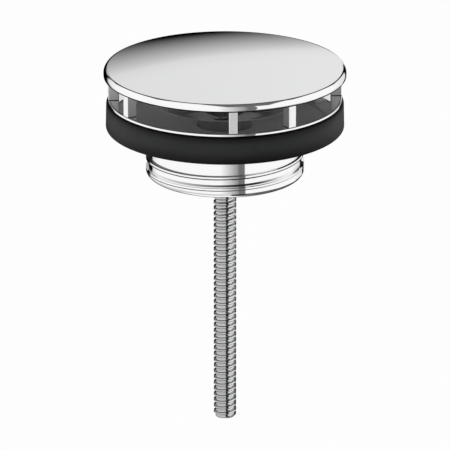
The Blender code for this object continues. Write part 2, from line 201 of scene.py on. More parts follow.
# Rod and its thread
ROD_RADIUS = 0.0030
ROD_ROOT_RADIUS = 0.00252
ROD_PITCH = 0.00166
ROD_CREST_WIDTH = 0.00066
ROD_UPPER_FLANK = 0.00008
ROD_LOWER_FLANK = 0.00046
ROD_EDGE_LINE = 0.00025
ROD_FRONT_CREST = -0.01905
ROD_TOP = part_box("draw_rod")[1].z
ROD_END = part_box("draw_rod")[0].z
ROD_CHAMFER = 0.0005

# Posts
POST_DEPTH = 0.0028
POST_WIDTH = 0.00215
POST_EDGE_ROUND = 0.00018
POST_SIDE_NORMAL = 0.9
# Height of the dark band at each post's foot: a painted contact shadow
POST_FOOT_SHADOW_HEIGHT = 0.00016
POST_FLAT_AREA = 2e-6
POST_COUNT = 8
SEAT_GAP = 0.00002

# Gasket
GASKET_FIT = 0.0002
GASKET_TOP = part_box("gasket")[1].z
GASKET_TOP_RADIUS = 0.0311
GASKET_BOTTOM_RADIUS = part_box("gasket")[1].x
GASKET_CORNER_ROUND = 0.0006
GASKET_LIP_TOP = 0.0012
# Where the painted sheen fades out: towards the top, as painted shade under the flange, and towards the
# bottom
RUBBER_UPPER_FADE = 0.0022
RUBBER_LOWER_EDGE = 0.0004
RUBBER_LOWER_FADE = 0.0034
RUBBER_BLACK = (0.0008, 0.0008, 0.0008, 1.0)
RUBBER_PAINTED_SHEEN = (0.0300, 0.0310, 0.0320, 1.0)

# Finishes: noise that is shared by them, and its useful range
POLISHED = (0.93, 0.93, 0.935, 1.0)
CLOUD_SCALE = 90.0
CLOUD_DETAIL = 3.0
FINE_DETAIL = 2.0
NOISE_RANGE = (0.3, 0.7)
RUBBER_CLOUD_SCALE = 120.0
RUBBER_CLOUD_LEVELS = (0.85, 1.0)
RUBBER_GRAIN = 4200.0
RUBBER_ROUGHNESS = (0.48, 0.60)
RUBBER_BUMP = 1.2e-5
RUBBER_SPECULAR = 0.20

# Fineness
DOME_STEPS = 40
RIM_STEPS = 24
MOUTH_STEPS = 16
EDGE_STEPS = 8
POST_EDGE_STEPS = 5
SHANK_END_STEPS = 12
ROUND_STEPS = 256
THREAD_STEPS = 192
TURNS_BELOW = 2
TURNS_ABOVE = 1
ROD_STEPS = 64
MERGE_DISTANCE = 0.000002
SMOOTH_ANGLE = 28.0

# Finishes of the pieces that have several, and their places in the mesh's list
SHANK_LOOKS = ("chrome", "edge", "bore", "shade", "ledge", "faint")
CHROME, SHADE_LINE, BORE, SHADE, LEDGE_SHADE_LINE, FAINT_SHADE_LINE = range(6)
ROD_LOOKS = ("rod", "groove", "flank")
STEEL, ROD_SHADE_LINE, SHADED_FLANK = range(3)
POST_LOOKS = ("post", "post_side_satin_and_shade", "edge")
POST_FACE, POST_SIDE_SHADED, POST_FOOT_SHADOW = range(3)
COVER_LOOKS = ("chrome", "lip", "underside")
COVER_FACE, COVER_SHADOW_LIP, COVER_UNDERSIDE = range(3)

# Sockets of a Mix node that mixes colours
MIX_FIRST = 6
MIX_SECOND = 7
MIX_RESULT = 2


def arc(centre_r, centre_z, radius, start, end, count):
    """Points on a circular arc in the profile plane, from start to end in degrees."""
    points = []
    for index in range(count + 1):
        angle = math.radians(start + (end - start) * index / count)
        points.append((centre_r + radius * math.cos(angle), centre_z + radius * math.sin(angle)))
    return points


# Materials


class Nodes:
    """A short way to build the node tree of a material or a world."""

    def __init__(self, owner):
        owner.use_nodes = True
        self.tree = owner.node_tree
        self.tree.nodes.clear()

    def add(self, kind, **settings):
        """A node with these properties set."""
        node = self.tree.nodes.new(kind)
        for name, value in settings.items():
            setattr(node, name, value)
        return node

    def feed(self, value, socket):
        """Link a socket to an input, or set the input to a plain value."""
        if isinstance(value, bpy.types.NodeSocket):
            self.tree.links.new(value, socket)
        else:
            socket.default_value = value

    def maths(self, operation, *values):
        """A Math node on sockets or numbers."""
        node = self.add("ShaderNodeMath", operation=operation)
        for value, socket in zip(values, node.inputs):
            self.feed(value, socket)
        return node.outputs[0]

    def ramp(self, value, start, end, low=0.0, high=1.0, smooth=True):
        """Map a value from start..end to low..high, clamped."""
        kind = "SMOOTHSTEP" if smooth else "LINEAR"
        node = self.add("ShaderNodeMapRange", interpolation_type=kind)
        for number, socket in zip((value, start, end, low, high), node.inputs):
            self.feed(number, socket)
        return node.outputs[0]

    def rise(self, value, span):
        """Go from 0 to 1 over a span."""
        return self.ramp(value, *span)

    def fall(self, value, span):
        """Go from 1 to 0 over a span."""
        return self.ramp(value, *span, 1.0, 0.0)

    def band(self, value, places):
        """Come in between the first two of four places and go out between the last two."""
        return self.all_of(self.rise(value, places[:2]), self.fall(value, places[2:]))

    def all_of(self, *masks):
        """The product of several masks."""
        result = masks[0]
        for mask in masks[1:]:
            result = self.maths("MULTIPLY", result, mask)
        return result

    def cap(self, level, mask, grey_level):
        """Keep a level from passing a grey where the mask is 1."""
        return self.maths("MINIMUM", level, self.ramp(mask, 0.0, 1.0, 1.0, grey_level, smooth=False))

    def darken(self, level, mask):
        """Take a level down to black where the mask is 1."""
        return self.maths("MULTIPLY", level, self.maths("SUBTRACT", 1.0, mask))

    def mix(self, factor, first, second):
        """Mix two colours."""
        node = self.add("ShaderNodeMix", data_type="RGBA")
        self.feed(factor, node.inputs[0])
        self.feed(first, node.inputs[MIX_FIRST])
        self.feed(second, node.inputs[MIX_SECOND])
        return node.outputs[MIX_RESULT]

    def noise(self, coordinate, scale, detail, stretch=(1.0, 1.0, 1.0)):
        """Noise in the object's own space, stretched per axis."""
        mapping = self.add("ShaderNodeMapping")
        mapping.inputs["Scale"].default_value = stretch
        self.feed(coordinate, mapping.inputs["Vector"])
        node = self.add("ShaderNodeTexNoise")
        node.inputs["Scale"].default_value = scale
        node.inputs["Detail"].default_value = detail
        self.feed(mapping.outputs[0], node.inputs["Vector"])
        return node.outputs["Fac"]

    def axes(self, vector):
        """The three parts of a vector."""
        node = self.add("ShaderNodeSeparateXYZ")
        self.feed(vector, node.inputs[0])
        return node.outputs

    def finish(self, colour, fine, roughness, metallic, specular, bump):
        """Show a Principled shader whose gloss and relief follow a fine noise."""
        shader = self.add("ShaderNodeBsdfPrincipled")
        self.feed(colour, shader.inputs["Base Color"])
        self.feed(self.ramp(fine, *NOISE_RANGE, *roughness), shader.inputs["Roughness"])
        shader.inputs["Metallic"].default_value = metallic
        shader.inputs["Specular IOR Level"].default_value = specular
        relief = self.add("ShaderNodeBump")
        relief.inputs["Strength"].default_value = 1.0
        relief.inputs["Distance"].default_value = bump
        self.feed(fine, relief.inputs["Height"])
        self.feed(relief.outputs["Normal"], shader.inputs["Normal"])
        self.show(shader)

    def glow(self, level):
        """An Emission shader of one grey level."""
        node = self.add("ShaderNodeEmission")
        node.inputs["Color"].default_value = grey(level)
        node.inputs["Strength"].default_value = 1.0
        return node

    def show(self, shader, kind="ShaderNodeOutputMaterial"):
        """Make this shader the one that is seen."""
        output = self.add(kind)
        self.feed(shader.outputs[0], output.inputs["Surface"])


def grey(value):
    """A neutral colour."""
    return (value, value, value, 1.0)


def surface(
    name, dark, light, roughness, grain, bump, metallic=1.0, stretch=(1.0, 1.0, 1.0), specular=0.5,
    spread=None,
):
    """A finish whose colour and gloss vary with a cloudy noise, with a fine grain in its relief.

    dark and light are the two colours it varies between and roughness is a pair as well. grain is
    the grain's scale per metre and bump its height in metres. spread, if given, is four angles round
    the axis in degrees: the finish comes in between the first two and goes out between the last two,
    and outside them it is polished.
    """
    made = bpy.data.materials.new(name)
    nodes = Nodes(made)
    coordinate = nodes.add("ShaderNodeTexCoord").outputs["Object"]
    cloud = nodes.noise(coordinate, CLOUD_SCALE, CLOUD_DETAIL, stretch)
    fine = nodes.noise(coordinate, grain, FINE_DETAIL, stretch)
    colour = nodes.mix(cloud, dark, light)
    if spread:
        east, north, _ = nodes.axes(coordinate)
        turn = nodes.maths("ARCTAN2", east, nodes.maths("MULTIPLY", north, -1.0))
        mask = nodes.band(turn, [math.radians(angle) for angle in spread])
        colour = nodes.mix(mask, POLISHED, colour)
    nodes.finish(colour, fine, roughness, metallic, specular, bump)
    return made


def rubber():
    """Matt black rubber with a painted sheen round the middle of its wall; black at the top under the
    flange as painted shade, and darker towards the bottom.
    """
    made = bpy.data.materials.new("black_rubber")
    nodes = Nodes(made)
    coordinate = nodes.add("ShaderNodeTexCoord").outputs["Object"]
    height = nodes.axes(coordinate)[2]
    upper = nodes.rise(height, (GASKET_TOP, GASKET_TOP - RUBBER_UPPER_FADE))
    lower = nodes.rise(height, (RUBBER_LOWER_EDGE, RUBBER_LOWER_EDGE + RUBBER_LOWER_FADE))
    cloud = nodes.noise(coordinate, RUBBER_CLOUD_SCALE, CLOUD_DETAIL)
    # The lighter middle band is a painted sheen; the black top is painted shade
    painted_sheen = nodes.all_of(upper, lower, nodes.ramp(cloud, *NOISE_RANGE, *RUBBER_CLOUD_LEVELS))
    fine = nodes.noise(coordinate, RUBBER_GRAIN, FINE_DETAIL)
    colour = nodes.mix(painted_sheen, RUBBER_BLACK, RUBBER_PAINTED_SHEEN)
    nodes.finish(colour, fine, RUBBER_ROUGHNESS, 0.0, RUBBER_SPECULAR, RUBBER_BUMP)
    return made


def make_materials():
    """Every finish, by name."""
    return {
        "chrome": surface(
            "polished_chrome", grey(0.93), (0.95, 0.955, 0.96, 1.0),
            roughness=(0.03, 0.05), grain=3000.0, bump=1e-7,
        ),
        # Near-black strips along the shank crests' lower edges, on the flange top and at the post feet:
        # painted shade lines
        "edge": surface(
            "painted_shade_line", grey(0.035), grey(0.06), roughness=(0.28, 0.36), grain=2500.0, bump=2e-6
        ),
        # The skirt under the rim, painted near-black as the rim's shadow: painted shadow
        "lip": surface(
            "painted_shadow_lip", grey(0.006), grey(0.012), roughness=(0.5, 0.6), grain=2500.0, bump=2e-6
        ),
        "underside": surface(
            "bare_underside", (0.46, 0.46, 0.465, 1.0), (0.53, 0.53, 0.535, 1.0),
            roughness=(0.55, 0.65), grain=1500.0, bump=2e-5, metallic=0.0, specular=0.3,
        ),
        "boss": surface(
            "bare_boss", grey(0.18), grey(0.24),
            roughness=(0.5, 0.6), grain=1500.0, bump=2e-5, metallic=0.0, specular=0.2,
        ),
        "bore": surface(
            "bore_finish", grey(0.74), grey(0.82),
            roughness=(0.45, 0.55), grain=2000.0, bump=2e-6, metallic=0.0, specular=0.3,
        ),
        # Rougher satin finish on the posts' side faces, also darkened as painted shade
        "post_side_satin_and_shade": surface(
            "post_side_satin_and_shade", grey(0.50), grey(0.56), roughness=(0.42, 0.52), grain=2500.0, bump=4e-6
        ),
        "post": surface(
            "post_chrome", grey(0.88), grey(0.93), roughness=(0.16, 0.22), grain=3000.0, bump=1e-6
        ),
        "cast": surface(
            "cast_chrome", grey(0.50), grey(0.58),
            roughness=(0.5, 0.6), grain=1200.0, bump=1e-6, metallic=0.5,
        ),
        "zinc": surface(
            "zinc_steel", (0.30, 0.31, 0.32, 1.0), (0.40, 0.40, 0.39, 1.0),
            roughness=(0.24, 0.38), grain=1800.0, bump=6e-6,
        ),
        "rod": surface(
            "rolled_steel", (0.70, 0.71, 0.72, 1.0), (0.80, 0.80, 0.80, 1.0),
            roughness=(0.08, 0.14), grain=2600.0, bump=1e-6, stretch=(1.0, 1.0, 0.35),
        ),
        # Darker, rougher copy of the rod steel on the thread's down-facing flank: painted shade
        "flank": surface(
            "thread_flank_painted_shade", grey(0.52), grey(0.6), roughness=(0.3, 0.4), grain=2600.0, bump=2e-6
        ),
        "shade": surface(
            "thread_shade", grey(0.025), grey(0.04),
            roughness=(0.2, 0.3), grain=2500.0, bump=2e-6, spread=SHANK_SHADE_SPREAD,
        ),
        # Dark line on the step above the shank's top crest: painted shade
        "ledge": surface(
            "thread_ledge_painted_shade", grey(0.035), grey(0.06),
            roughness=(0.2, 0.3), grain=2500.0, bump=2e-6, spread=SHANK_LEDGE_SPREAD,
        ),
        # Lighter version of the crests' dark lower edge line, on the lower turns: painted shade line
        "faint": surface(
            "thread_faint_painted_shade", grey(0.14), grey(0.20),
            roughness=(0.2, 0.3), grain=2500.0, bump=2e-6, spread=SHANK_FAINT_SPREAD,
        ),
        # A dark strip along the top edge of the rod's crests, though named groove: a painted shade line
        "groove": surface(
            "thread_painted_shade_line", grey(0.05), grey(0.09), roughness=(0.3, 0.4), grain=2500.0, bump=2e-6
        ),
        "rubber": rubber(),
    }


# Meshes


def add_object(name, data):
    """An object around this data, in the scene."""
    obj = bpy.data.objects.new(name, data)
    bpy.context.scene.collection.objects.link(obj)
    return obj


def mesh_object(name, work, materials):
    """Turn a bmesh into an object with these materials."""
    mesh = bpy.data.meshes.new(name)
    work.to_mesh(mesh)
    work.free()
    for made in materials:
        mesh.materials.append(made)
    return add_object(name, mesh)


def finish_mesh(name, work, materials, smooth_angle=SMOOTH_ANGLE):
    """Weld, clean and shade a bmesh, and make it an object with these materials."""
    bmesh.ops.remove_doubles(work, verts=work.verts, dist=MERGE_DISTANCE)
    bmesh.ops.dissolve_degenerate(work, edges=work.edges, dist=MERGE_DISTANCE / 2)
    bmesh.ops.recalc_face_normals(work, faces=work.faces)
    obj = mesh_object(name, work, materials)
    obj.data.shade_smooth()
    obj.data.set_sharp_from_angle(angle=math.radians(smooth_angle))
    return obj


def round_point(work, radius, angle, height):
    """A vertex at this radius, angle from the front towards +X, and height."""
    return work.verts.new((radius * math.sin(angle), -radius * math.cos(angle), height))


def sweep_round(work, profile, steps, closed=False):
    """Turn a profile of (radius, height, material) about Z.

    The material is that of the band between a point and the next one.
    """
    rings = []
    for radius, height, _ in profile:
        rings.append([round_point(work, radius, math.tau * step / steps, height) for step in range(steps)])
    count = len(profile)
    for index in range(count if closed else count - 1):
        first, second = rings[index], rings[(index + 1) % count]
        for step in range(steps):
            after = (step + 1) % steps
            face = work.faces.new((first[step], first[after], second[after], second[step]))
            face.material_index = profile[index][2]


def tagged(points, material):
    """Profile points that all carry one material."""
    return [(radius, height, material) for radius, height in points]


def turned(name, profile, materials, closed=False, smooth_angle=SMOOTH_ANGLE):
    """An object turned from one profile."""
    work = bmesh.new()
    sweep_round(work, profile, ROUND_STEPS, closed)
    return finish_mesh(name, work, materials, smooth_angle)


def sweep_thread(work, section, pitch, front_z, low, high, steps, limit, paint=None):
    """A right-hand helical skin from the height low up to the height high.

    section lists (height above the turn's start, radius, material) over one pitch, and front_z is
    where a turn starts at the front. limit(radius, height, angle) trims the radius, and whatever
    lies past low or high is flattened onto that height. paint(material, angle) may change a material.
    """
    first_turn = math.floor((low - front_z) / pitch) - TURNS_BELOW
    last_turn = math.ceil((high - front_z) / pitch) + TURNS_ABOVE
    closing = (pitch, section[0][1], section[0][2])
    columns = []
    for step in range(first_turn * steps, last_turn * steps + 1):
        angle = math.tau * step / steps
        column = []
        for offset, radius, _ in section + [closing]:
            height = min(max(front_z + pitch * step / steps + offset, low), high)
            column.append(round_point(work, limit(radius, height, angle), angle, height))
        columns.append(column)
    for step, (before, after) in enumerate(zip(columns, columns[1:]), first_turn * steps):
        for index, (_, _, material) in enumerate(section):
            corners = (before[index], after[index], after[index + 1], before[index + 1])
            heights = [corner.co.z for corner in corners]
            if max(heights) - min(heights) > MERGE_DISTANCE:
                face = work.faces.new(corners)
                face.material_index = paint(material, math.tau * step / steps) if paint else material


# The pieces


def make_cover(looks):
    """Domed disc with a convex rim, a lip under it painted black as the shadow under the rim, and a
    relieved underside.
    """
    face_radius = COVER_RADIUS - COVER_RIM_WIDTH
    sphere = (face_radius ** 2 + COVER_CROWN ** 2) / (2 * COVER_CROWN)
    centre_z = COVER_EDGE_Z + COVER_CROWN - sphere
    dome_end = face_radius - COVER_EDGE_ROUND
    points = []
    for step in range(DOME_STEPS + 1):
        radius = dome_end * step / DOME_STEPS
        points.append((radius, centre_z + math.sqrt(sphere ** 2 - radius ** 2)))
    profile = tagged(points, COVER_FACE)

    widest = COVER_BOTTOM + COVER_WIDEST_HEIGHT
    down = COVER_EDGE_Z - widest
    rim_radius = (COVER_RIM_WIDTH ** 2 + down ** 2) / (2 * COVER_RIM_WIDTH)
    rim_start = math.degrees(math.asin(down / rim_radius))
    rim_end = -math.degrees(math.asin(COVER_WIDEST_HEIGHT / rim_radius))
    rim = arc(COVER_RADIUS - rim_radius, widest, rim_radius, rim_start, rim_end, RIM_STEPS)
    skirt_outer = rim[-1][0]
    skirt_inner = skirt_outer - COVER_SKIRT_WIDTH
    skirt_bottom = COVER_BOTTOM - COVER_SKIRT_DROP
    profile += tagged(rim[:-1], COVER_FACE)
    # The skirt's outer face is painted black: a painted shadow under the rim
    profile += tagged([(skirt_outer, COVER_BOTTOM), (skirt_outer, skirt_bottom)], COVER_SHADOW_LIP)
    profile += tagged([(skirt_inner, skirt_bottom), (skirt_inner, COVER_BOTTOM)], COVER_UNDERSIDE)
    relief = COVER_BOTTOM + COVER_RELIEF_DEPTH
    socket = COVER_BOTTOM + COVER_SOCKET_DEPTH
    profile += tagged(
        [
            (COVER_RELIEF_RADIUS, COVER_BOTTOM),
            (COVER_RELIEF_RADIUS - COVER_RELIEF_DEPTH, relief),
            (COVER_SOCKET_RADIUS, relief),
            (COVER_SOCKET_RADIUS, socket),
            (0.0, socket),
        ],
        COVER_UNDERSIDE,
    )
    finishes = [looks[look] for look in COVER_LOOKS]
    return turned("cover_shell", profile, finishes, smooth_angle=COVER_SMOOTH_ANGLE)


def shank_section():
    """One pitch of the shank's thread, upwards from the lower end of the groove's floor."""
    floor = SHANK_PITCH - SHANK_CREST_WIDTH - SHANK_UPPER_FLANK - SHANK_LOWER_FLANK
    shade_room = SHANK_SHADE_START + SHANK_SHADE_WIDTH
    crest_low = floor - shade_room + SHANK_LOWER_FLANK
    crest_high = crest_low + SHANK_CREST_WIDTH
    ledge = crest_high + SHANK_UPPER_FLANK
    section = []
    for band in range(SHANK_FLOOR_BANDS + 1):
        section.append(((floor - shade_room) * band / SHANK_FLOOR_BANDS, NECK_RADIUS, CHROME))
    return section + [
        # The crest's lower edge, the step above the crest and the band above that are painted dark:
        # painted shade lines
        (crest_low, SHANK_CREST_RADIUS, SHADE_LINE),
        (crest_low + SHANK_EDGE_LINE, SHANK_CREST_RADIUS, CHROME),
        (crest_high, SHANK_CREST_RADIUS, LEDGE_SHADE_LINE),
        (ledge, NECK_RADIUS, CHROME),
        (ledge + SHANK_SHADE_START, NECK_RADIUS, SHADE),
    ]


def flange_profile():
    """From the bore's ledge over its rounded mouth and round the flange and hub, down to the neck."""
    mouth = BORE_MOUTH_ROUND
    rim = FLANGE_EDGE_ROUND
    flange_bottom = FLANGE_TOP - FLANGE_THICKNESS
    # groove is the outer radius of that painted shade line; the flange top is flat there
    groove = FLANGE_RADIUS - FLANGE_SHADE_LINE_INSET
    profile = tagged(arc(BORE_SEAT_RADIUS + mouth, FLANGE_TOP - mouth, mouth, 180, 90, MOUTH_STEPS), BORE)
    profile[-1] = (*profile[-1][:2], CHROME)
    profile += [(groove - FLANGE_SHADE_LINE_WIDTH, FLANGE_TOP, SHADE_LINE), (groove, FLANGE_TOP, CHROME)]
    outline = arc(FLANGE_RADIUS - rim, FLANGE_TOP - rim, rim, 90, 0, EDGE_STEPS)
    outline += arc(FLANGE_RADIUS - rim, flange_bottom + rim, rim, 0, -90, EDGE_STEPS)
    outline += [
        (HUB_RADIUS, flange_bottom),
        (HUB_RADIUS, HUB_BOTTOM),
        (NECK_RADIUS, HUB_BOTTOM),
        (NECK_RADIUS, SHANK_THREAD_TOP),
    ]
    return profile + tagged(outline, CHROME)


def shank_end_profile(mouth_start):
    """From the plain land round the shank's end and up the bore, to where its mouth starts."""
    land = [(SHANK_CREST_RADIUS, SHANK_LAND_Z)]
    end_width = SHANK_CREST_RADIUS - SHANK_END_RADIUS
    for step in range(SHANK_END_STEPS + 1):
        turn = math.pi / 2 * step / SHANK_END_STEPS
        radius = SHANK_END_RADIUS + end_width * math.cos(turn)
        land.append((radius, SHANK_END + SHANK_END_ROUND * (1 - math.sin(turn))))
    inside = [
        (BORE_RADIUS + BORE_END_CHAMFER, SHANK_END),
        (BORE_RADIUS, SHANK_END + BORE_END_CHAMFER),
        (BORE_RADIUS, BORE_LEDGE_Z),
        (BORE_SEAT_RADIUS, BORE_LEDGE_Z),
        mouth_start,
    ]
    return tagged(land, CHROME) + tagged(inside, BORE)


def make_drain_body(looks):
    """Flange, hub, bore and threaded shank."""
    profile = flange_profile()
    work = bmesh.new()
    sweep_round(work, profile, THREAD_STEPS)
    sweep_round(work, shank_end_profile(profile[0][:2]), THREAD_STEPS)

    section = shank_section()
    crest_middle = section[SHANK_FLOOR_BANDS + 1][0] + SHANK_CREST_WIDTH / 2
    front_z = SHANK_FRONT_CREST - crest_middle

    def limit(radius, height, angle):
        """Fill the groove towards the land below, and fade the crest out above."""
        if height >= SHANK_THREAD_TOP:
            return NECK_RADIUS
        if height <= SHANK_LAND_Z:
            return SHANK_CREST_RADIUS
        below = height < front_z + SHANK_PITCH * angle / math.tau + crest_middle
        groove_end = SHANK_GROOVE_END if below else SHANK_GROOVE_END - math.tau
        if angle < groove_end:
            filled = min((groove_end - angle) / SHANK_RUNOUT, 1.0)
            return radius + (SHANK_CREST_RADIUS - radius) * filled
        fade = min(max((SHANK_LAST_ANGLE - angle) / SHANK_RUNOUT, 0.0), 1.0)
        return NECK_RADIUS + (radius - NECK_RADIUS) * math.sqrt(fade)

    def paint(material, angle):
        """Keep each painted shade band where the turns show it, and nothing dark past the thread's end."""
        if material == SHADE_LINE and angle < -math.pi:
            material = FAINT_SHADE_LINE
        kept = {SHADE: SHANK_SHADE_ANGLES, LEDGE_SHADE_LINE: SHANK_LEDGE_ANGLES, FAINT_SHADE_LINE: SHANK_FAINT_ANGLES}
        first, last = kept.get(material, (-math.inf, SHANK_LAST_ANGLE))
        return material if first < angle < last else CHROME

    sweep_thread(
        work, section, SHANK_PITCH, front_z, SHANK_LAND_Z, SHANK_THREAD_TOP, THREAD_STEPS, limit, paint
    )
    return finish_mesh("drain_body_shell", work, [looks[look] for look in SHANK_LOOKS])


def rod_section():
    """One pitch of the rod's thread, upwards from the lower end of the groove's floor."""
    floor = ROD_PITCH - ROD_CREST_WIDTH - ROD_UPPER_FLANK - ROD_LOWER_FLANK
    crest_low = floor + ROD_LOWER_FLANK
    crest_high = crest_low + ROD_CREST_WIDTH
    return [
        (0.0, ROD_ROOT_RADIUS, STEEL),
        # The down-facing lower flank gets the darker steel: painted shade
        (floor, ROD_ROOT_RADIUS, SHADED_FLANK),
        (crest_low, ROD_RADIUS, STEEL),
        # The crest's top edge strip is painted dark: a painted shade line
        (crest_high - ROD_EDGE_LINE, ROD_RADIUS, ROD_SHADE_LINE),
        (crest_high, ROD_RADIUS, STEEL),
    ]


def make_draw_rod(looks):
    """The rod with its rolled thread, chamfered at both ends."""
    section = rod_section()
    crest_middle = section[2][0] + ROD_CREST_WIDTH / 2
    tip = ROD_RADIUS - ROD_CHAMFER

    def limit(radius, height, angle):
        """The chamfers at both ends."""
        room = min(height - ROD_END, ROD_TOP - height)
        return min(radius, tip + room)

    work = bmesh.new()
    sweep_thread(
        work, section, ROD_PITCH, ROD_FRONT_CREST - crest_middle, ROD_END, ROD_TOP, ROD_STEPS, limit
    )
    for height in (ROD_END, ROD_TOP):
        sweep_round(work, [(tip, height, STEEL), (0.0, height, STEEL)], ROD_STEPS)
    return finish_mesh("draw_rod_thread", work, [looks[look] for look in ROD_LOOKS])


def make_gasket(looks):
    """Rubber ring with soft corners, slightly flared, and a lip in under the hub."""
    edge = GASKET_CORNER_ROUND
    profile = [(HUB_RADIUS + GASKET_FIT, GASKET_TOP)]
    profile += arc(GASKET_TOP_RADIUS - edge, GASKET_TOP - edge, edge, 90, 0, EDGE_STEPS)
    profile += arc(GASKET_BOTTOM_RADIUS - edge, edge, edge, 0, -90, EDGE_STEPS)
    profile += [
        (NECK_RADIUS + GASKET_FIT, 0.0),
        (NECK_RADIUS + GASKET_FIT, GASKET_LIP_TOP),
        (HUB_RADIUS + GASKET_FIT, GASKET_LIP_TOP),
    ]
    return turned("gasket_ring", tagged(profile, 0), [looks["rubber"]], closed=True)


def make_post(node, looks):
    """An upright bar with eased edges, from the flange up to the cover."""
    low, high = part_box(node)
    middle = (low + high) / 2
    bottom, top = FLANGE_TOP, COVER_BOTTOM - SEAT_GAP
    work = bmesh.new()
    bmesh.ops.create_cube(work, size=1.0)
    bmesh.ops.scale(work, vec=(POST_WIDTH, POST_DEPTH, top - bottom), verts=work.verts)
    upright = []
    for edge in work.edges:
        heights = [vertex.co.z for vertex in edge.verts]
        if max(heights) - min(heights) > POST_WIDTH:
            upright.append(edge)
    bmesh.ops.bevel(
        work, geom=upright, offset=POST_EDGE_ROUND, segments=POST_EDGE_STEPS, profile=0.5, affect="EDGES"
    )
    # The band at the foot is painted dark: a painted contact shadow where the post meets the flange
    foot = (bottom - top) / 2 + POST_FOOT_SHADOW_HEIGHT
    everything = work.verts[:] + work.edges[:] + work.faces[:]
    bmesh.ops.bisect_plane(work, geom=everything, plane_co=(0.0, 0.0, foot), plane_no=(0.0, 0.0, 1.0))
    for face in work.faces:
        if face.calc_center_median().z < foot:
            face.material_index = POST_FOOT_SHADOW
        # Side faces get the darker satin finish, partly painted shade
        elif abs(face.normal.x) > POST_SIDE_NORMAL:
            face.material_index = POST_SIDE_SHADED
        else:
            face.material_index = POST_FACE
    angle = math.atan2(middle.x, -middle.y)
    obj = finish_mesh(f"{node}_bar", work, [looks[look] for look in POST_LOOKS])
    for polygon in obj.data.polygons:
        polygon.use_smooth = polygon.area < POST_FLAT_AREA
    obj.location = (middle.x, middle.y, (bottom + top) / 2)
    obj.rotation_euler.z = angle
    return obj


def dress_frame(looks):
    """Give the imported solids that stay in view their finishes."""
    finishes = {
        "cover_boss": "boss",
        "bridge": "cast",
        "lock_washer": "zinc",
        "lock_nut": "zinc",
        "keeper_washer": "zinc",
        "keeper_nut": "zinc",
    }
    for node, look in finishes.items():
        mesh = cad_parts[node].data
        mesh.materials.clear()
        mesh.materials.append(looks[look])


def make_pieces(looks):
    """Build every piece, hang it on the body it rides on and hide the imported solid it stands in for."""
    rows = [
        (make_cover(looks), "cover_and_rod", "cover", "cover_chrome"),
        (make_drain_body(looks), "drain", "drain_body", "body_chrome"),
        (make_draw_rod(looks), "cover_and_rod", "draw_rod", "rod_steel"),
        (make_gasket(looks), "drain", "gasket", "gasket_rubber"),
    ]
    for index in range(1, POST_COUNT + 1):
        node = f"post_{index}"
        rows.append((make_post(node, looks), "drain", node, "body_chrome"))
    for piece, body, node, slot in rows:
        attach(piece, body)
        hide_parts(node)


# Studio


def back_panel(nodes, behind, elevation):
    """Where the panel behind stands in the reflections."""
    width = nodes.fall(nodes.maths("ABSOLUTE", behind), PANEL_END_SPAN)
    return nodes.all_of(width, nodes.band(elevation, PANEL_HEIGHT_BAND))


def low_card(nodes, behind, elevation):
    """The dark low card at the back, whose upper edge slopes up to the left."""
    leftward = nodes.maths("MINIMUM", behind, LOW_CARD_CORNER)
    slant = nodes.maths("SUBTRACT", elevation, nodes.maths("MULTIPLY", leftward, LOW_CARD_SLOPE))
    above = nodes.ramp(slant, *LOW_CARD_EDGE_SPAN, 0.0, LOW_CARD_EDGE_SHARE, smooth=False)
    softened = nodes.ramp(slant, *LOW_CARD_SOFT_SPAN, 0.0, 1.0 - LOW_CARD_EDGE_SHARE)
    above = nodes.maths("ADD", above, softened)
    return nodes.all_of(
        nodes.ramp(above, 0.0, 1.0, 1.0, 0.0, smooth=False),
        nodes.band(behind, LOW_CARD_BEHIND_BAND),
        nodes.rise(elevation, LOW_CARD_FOOT_SPAN),
    )


def end_card(nodes, behind, elevation):
    """The dark card at the back on the right, which reaches further in higher up."""
    limit = nodes.ramp(elevation, *END_CARD_STEP_SPAN, *END_CARD_LIMITS)
    return nodes.all_of(
        nodes.rise(behind, END_CARD_START_SPAN),
        nodes.fall(nodes.maths("SUBTRACT", behind, limit), (0.0, END_CARD_SOFTNESS)),
        nodes.band(elevation, END_CARD_HEIGHT_BAND),
    )


def front_card(nodes, azimuth, elevation):
    """The dark card in front, a little to the right, which fades out to the left."""
    fade = nodes.maths(
        "ADD",
        nodes.ramp(azimuth, *FRONT_CARD_FADE_SPAN, 0.0, FRONT_CARD_FADE_SHARE, smooth=False),
        nodes.ramp(azimuth, *FRONT_CARD_DARK_SPAN, 0.0, 1.0 - FRONT_CARD_FADE_SHARE),
    )
    return nodes.all_of(
        fade,
        nodes.fall(azimuth, FRONT_CARD_EDGE_SPAN),
        nodes.band(elevation, FRONT_CARD_HEIGHT_BAND),
    )


def lid(nodes, side, pitch):
    """The grey lid overhead, which comes down lower on the right."""
    edge = nodes.maths("SUBTRACT", LID_FRONT_EDGE, nodes.maths("MULTIPLY", side, LID_SLOPE))
    edge = nodes.maths("MAXIMUM", edge, LID_LOWEST_EDGE)
    return nodes.all_of(
        nodes.rise(nodes.maths("SUBTRACT", pitch, edge), LID_EDGE_SPAN),
        nodes.band(side, LID_SIDE_BAND),
        nodes.fall(pitch, LID_BACK_SPAN),
    )


def strip(nodes, behind, side, pitch, elevation):
    """The darker strip overhead, towards the back."""
    lowest = nodes.ramp(nodes.maths("ABSOLUTE", behind), *STRIP_STEP_SPAN, *STRIP_LOWEST)
    return nodes.all_of(
        nodes.rise(pitch, STRIP_PITCH_SPAN),
        nodes.rise(nodes.maths("SUBTRACT", elevation, lowest), (0.0, STRIP_SOFTNESS)),
        nodes.fall(nodes.maths("ABSOLUTE", side), STRIP_END_SPAN),
    )


def low_patch(nodes, side, elevation):
    """The dark patch low on the right."""
    return nodes.all_of(nodes.fall(elevation, PATCH_TOP_SPAN), nodes.band(side, PATCH_SIDE_BAND))


